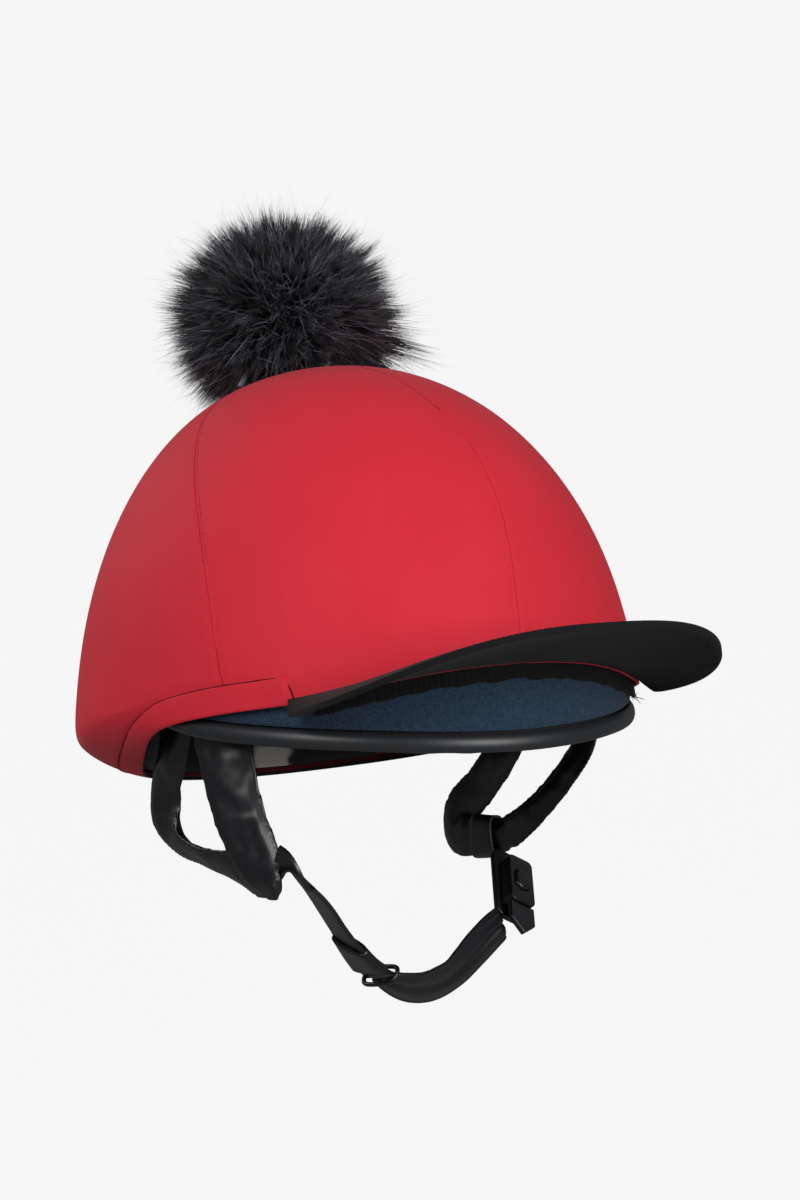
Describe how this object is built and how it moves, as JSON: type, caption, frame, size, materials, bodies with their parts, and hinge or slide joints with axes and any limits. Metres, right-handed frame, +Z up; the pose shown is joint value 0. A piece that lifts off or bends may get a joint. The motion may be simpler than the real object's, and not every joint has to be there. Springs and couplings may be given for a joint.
{
  "type": "riding hat with cover",
  "caption": "Riding skull cap in a stretch cover with a fabric peak, a fur pompom on top and a padded leather harness with a chin strap.",
  "frame": {"origin": "middle of the head opening, in the mean plane of the rim", "axes": "+Z up through the crown, -Y to the front over the peak, +X to the wearer's left"},
  "size_m": [0.2284, 0.3386, 0.3482],
  "materials": {
    "stretch_cloth": "satin-matte stretch knit",
    "black_fabric": "matte",
    "fur": "long pile with grey guard hairs",
    "flock": "flocked, matte",
    "black_rubber": "satin",
    "lining": "matte",
    "pale_fabric": "matte",
    "black_leather": "smooth satin",
    "black_plastic": "satin"
  },
  "bodies": {
    "root": {"crown_panel_front_left": "stretch_cloth", "crown_panel_front_right": "stretch_cloth", "crown_panel_rear_left": "stretch_cloth", "crown_panel_rear_right": "stretch_cloth", "cover_hem": "stretch_cloth", "peak": "black_fabric", "grip_elastic": "black_fabric", "pompom": "fur", "shell": "flock", "rim_trim": "black_rubber", "liner": "lining", "nape_band": "pale_fabric", "ear_strap_right": "black_leather", "ear_strap_left": "black_leather", "keeper_loop": "black_leather", "chin_strap": "black_leather", "strap_sleeve": "black_leather", "o_ring": "black_rubber", "chin_pad": "black_leather", "buckle_body": "black_plastic", "buckle_button": "black_plastic", "buckle_pad": "black_leather", "strap_end": "black_leather"}
  },
  "joints": []
}
